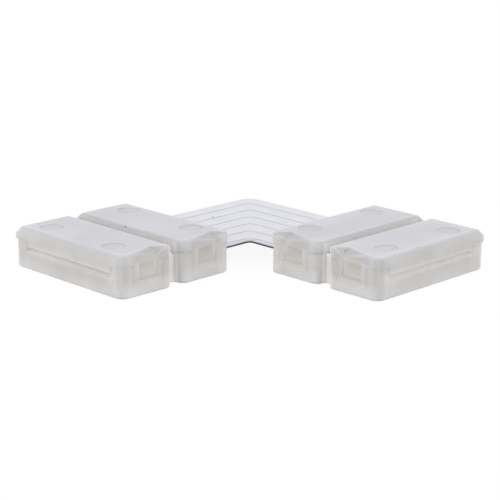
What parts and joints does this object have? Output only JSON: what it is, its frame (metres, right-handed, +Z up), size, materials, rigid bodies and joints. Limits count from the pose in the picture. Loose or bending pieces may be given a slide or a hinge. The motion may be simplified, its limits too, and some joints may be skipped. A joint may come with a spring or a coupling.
{
  "type": "led strip connector",
  "caption": "Right-angle solderless connector for LED strip: a flat flexible circuit joins milky plastic snap housings with hinged lids over spring contacts.",
  "frame": {"origin": "on the plane that the housings rest on, under the middle of the whole connector's box", "axes": "+X is the way housing b points away from the L's corner, -Y is the way housing a points, +Z is up from the undersides"},
  "size_m": [0.0318, 0.0318, 0.0041],
  "materials": {
    "milky_plastic": "satin, slightly translucent moulded plastic",
    "contact_metal": "bright tin-plated spring strip",
    "copper": "rolled copper, tinned at the bare ends",
    "dark_film": "dark polyimide film",
    "white_cover": "smooth white solder-mask cover layer"
  },
  "bodies": {
    "connector": {"base_a": "milky_plastic", "base_b": "milky_plastic", "flex_film": "dark_film", "flex_cover": "white_cover", "flex_track_1": "copper", "flex_track_2": "copper", "flex_track_3": "copper", "flex_track_4": "copper", "flex_track_5": "copper", "flex_track_6": "copper", "contact_1_a": "contact_metal", "contact_2_a": "contact_metal", "contact_3_a": "contact_metal", "contact_4_a": "contact_metal", "contact_5_a": "contact_metal", "contact_6_a": "contact_metal", "contact_1_b": "contact_metal", "contact_2_b": "contact_metal", "contact_3_b": "contact_metal", "contact_4_b": "contact_metal", "contact_5_b": "contact_metal", "contact_6_b": "contact_metal"},
    "outer_lid_a": {"outer_lid_a": "milky_plastic"},
    "inner_lid_a": {"inner_lid_a": "milky_plastic"},
    "outer_lid_b": {"outer_lid_b": "milky_plastic"},
    "inner_lid_b": {"inner_lid_b": "milky_plastic"}
  },
  "joints": [
    {"name": "outer_lid_a_hinge", "type": "hinge", "parent": "connector", "child": "outer_lid_a", "pos_m": [-0.01557, -0.01299, 0.0029], "axis": [0, -1, 0], "range_deg": [0, 180]},
    {"name": "inner_lid_a_hinge", "type": "hinge", "parent": "connector", "child": "inner_lid_a", "pos_m": [-0.01557, -0.00573, 0.0029], "axis": [0, -1, 0], "range_deg": [0, 180]},
    {"name": "outer_lid_b_hinge", "type": "hinge", "parent": "connector", "child": "outer_lid_b", "pos_m": [0.01299, 0.01557, 0.0029], "axis": [-1, 0, 0], "range_deg": [0, 180]},
    {"name": "inner_lid_b_hinge", "type": "hinge", "parent": "connector", "child": "inner_lid_b", "pos_m": [0.00573, 0.01557, 0.0029], "axis": [-1, 0, 0], "range_deg": [0, 180]}
  ]
}
